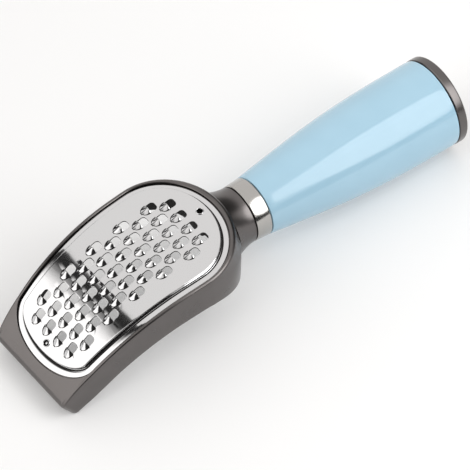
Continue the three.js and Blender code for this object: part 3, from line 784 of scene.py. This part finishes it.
# Tie screw and its washers, hidden inside the handle: zinc-plated steel, kept as the solids that they are.
# Zinc plate has a faint cloudy spangle, about 2 mm across.
zinc_plate, tree, shader, coords = new_finish("zinc_plated_steel")
spangle = add_node(tree, "ShaderNodeTexVoronoi", {"Vector": coords, "Scale": 1 / 0.002})
tone = add_node(tree, "ShaderNodeMix", {
    0: spangle.outputs["Distance"], 6: srgb("#B4B4AF"), 7: srgb("#C3C3BD"),
}, data_type="RGBA")
gloss = add_node(tree, "ShaderNodeMapRange", {
    "Value": spangle.outputs["Distance"], "To Min": 0.32, "To Max": 0.45,
})
shader.inputs["Metallic"].default_value = 1.0
tree.links.new(tone.outputs[2], shader.inputs["Base Color"])
tree.links.new(gloss.outputs["Result"], shader.inputs["Roughness"])
for name in ("tie_screw", "flat_washer", "lock_washer"):
    node = frame["nodes"][name]
    node.data.materials.clear()
    node.data.materials.append(zinc_plate)

# Floor: plain white paper. To the camera and to mirrors a fifth of it is its own even white, so that the
# ground looks white and still keeps the tool's soft shadow.
floor_size, own_white = 12.0, 0.2
bpy.ops.object.select_all(action="DESELECT")
bpy.ops.mesh.primitive_plane_add(size=floor_size)
floor = bpy.context.object
floor.name = "floor"
paper = bpy.data.materials.new("white_paper")
paper.use_nodes = True
tree = paper.node_tree
shader = tree.nodes["Principled BSDF"]
shader.inputs["Base Color"].default_value = srgb("#F4F4F4")
shader.inputs["Roughness"].default_value = 0.9
shader.inputs["Specular IOR Level"].default_value = 0.0
path = tree.nodes.new("ShaderNodeLightPath").outputs
seen = path["Is Camera Ray"]
for ray in ("Is Glossy Ray", "Is Transmission Ray"):
    seen = add_node(tree, "ShaderNodeMath", {0: seen, 1: path[ray]}, operation="MAXIMUM").outputs[0]
share = add_node(tree, "ShaderNodeMath", {0: seen, 1: own_white}, operation="MULTIPLY")
glow = add_node(tree, "ShaderNodeEmission", {"Color": (1, 1, 1, 1), "Strength": 1.0})
mix = add_node(tree, "ShaderNodeMixShader", {0: share.outputs[0], 1: shader.outputs[0], 2: glow.outputs[0]})
tree.links.new(mix.outputs[0], tree.nodes["Material Output"].inputs["Surface"])
floor.data.materials.append(paper)

# Studio: a bright room with a white panel on the left, the dark gap beside that panel that a polished plate
# shows as a band, a dark strip above the floor that draws the outlines of polished edges, and dark screens
# near the camera and on the right that give teeth and rims their dark sides. The camera sees plain white.
room_level, panel_level, dark_level = 1.02, 1.7, 0.03

# The soft edge of each area: along which axis of the direction, where it starts and where it is full.
soft_edges = {
    "gap": ("X", -0.265, -0.285),
    "gap_behind": ("Y", -0.1, 0.15),
    "panel": ("X", -0.36, -0.56),
    "strip": ("Z", 0.36, 0.28),
    "strip_near": ("Y", 0.6, 0.4),
    "strip_far": ("X", 0.2, 0.1),
    "strip_end": ("X", -0.72, -0.6),
    "near_screen": ("Y", -0.15, -0.35),
    "near_screen_side": ("X", 0.12, 0.04),
    "near_screen_top": ("Z", 0.86, 0.78),
    "right_screen": ("X", 0.68, 0.76),
    "right_screen_top": ("Z", 0.74, 0.66),
    "right_screen_side": ("Y", -0.22, -0.08),
}
areas = (
    (dark_level, ("gap", "gap_behind")),
    (panel_level, ("panel",)),
    (dark_level, ("strip", "strip_run", "strip_end")),
    (dark_level, ("near_screen", "near_screen_side", "near_screen_top")),
    (dark_level, ("right_screen", "right_screen_top", "right_screen_side")),
)
world = bpy.data.worlds.new("studio")
bpy.context.scene.world = world
world.use_nodes = True
tree = world.node_tree
direction = tree.nodes.new("ShaderNodeTexCoord").outputs["Generated"]
split = add_node(tree, "ShaderNodeSeparateXYZ", {0: direction}).outputs
cover = {}
for name, (letter, start, full) in soft_edges.items():
    cover[name] = add_node(tree, "ShaderNodeMapRange", {
        "Value": split[letter], "From Min": start, "From Max": full,
    }, interpolation_type="SMOOTHSTEP").outputs[0]
cover["strip_run"] = add_node(tree, "ShaderNodeMath", {
    0: cover["strip_near"], 1: cover["strip_far"],
}, operation="MAXIMUM").outputs[0]
level = room_level
for brightness, names in areas:
    share = cover[names[0]]
    for name in names[1:]:
        share = add_node(tree, "ShaderNodeMath", {0: share, 1: cover[name]}, operation="MULTIPLY").outputs[0]
    level = add_node(tree, "ShaderNodeMix", {0: share, 2: level, 3: brightness}).outputs[0]
room = add_node(tree, "ShaderNodeBackground", {"Color": srgb("#FFFDFB"), "Strength": level})
white = add_node(tree, "ShaderNodeBackground", {"Color": (1, 1, 1, 1), "Strength": 1.0})
camera_ray = tree.nodes.new("ShaderNodeLightPath").outputs["Is Camera Ray"]
mix = add_node(tree, "ShaderNodeMixShader", {0: camera_ray, 1: room.outputs[0], 2: white.outputs[0]})
tree.links.new(mix.outputs[0], tree.nodes["World Output"].inputs["Surface"])

# Softbox above the near right side, turned along the handle: its edges make the long bright stripe on the
# handle and the bright band round the ferrule.
softbox_data = bpy.data.lights.new("softbox", "AREA")
softbox_data.shape = "ELLIPSE"
softbox_data.size, softbox_data.size_y = 0.62, 1.06
softbox_data.energy = 5.1
softbox = bpy.data.objects.new("softbox", softbox_data)
bpy.context.collection.objects.link(softbox)
softbox_away = Vector((0.44, -0.622, 0.645)).normalized()
softbox_side = Vector((1, 0, 0)) - softbox_away * softbox_away.x
softbox_side.normalize()
turn = Matrix((softbox_side, softbox_away.cross(softbox_side), softbox_away)).transposed()
softbox.matrix_world = Matrix.Translation(softbox_away) @ turn.to_4x4()

# Camera: far away with a long lens, at the photograph's angle and framing.
camera_right = Vector((0.79676, -0.60289, -0.04166))
camera_up = Vector((0.50049, 0.61965, 0.60464))
camera_back = camera_right.cross(camera_up)
view_centre = Vector((-0.00314, -0.00279, 0.01895))
distance, view_width = 3.0, 0.19801
camera_data = bpy.data.cameras.new("camera")
camera_data.sensor_width = 36.0
camera_data.lens = camera_data.sensor_width * distance / view_width
camera = bpy.data.objects.new("camera", camera_data)
bpy.context.collection.objects.link(camera)
turn = Matrix((camera_right, camera_up, camera_back)).transposed()
camera.matrix_world = Matrix.Translation(view_centre + camera_back * distance) @ turn.to_4x4()
bpy.context.scene.camera = camera
bpy.context.scene.view_settings.view_transform = "Standard"
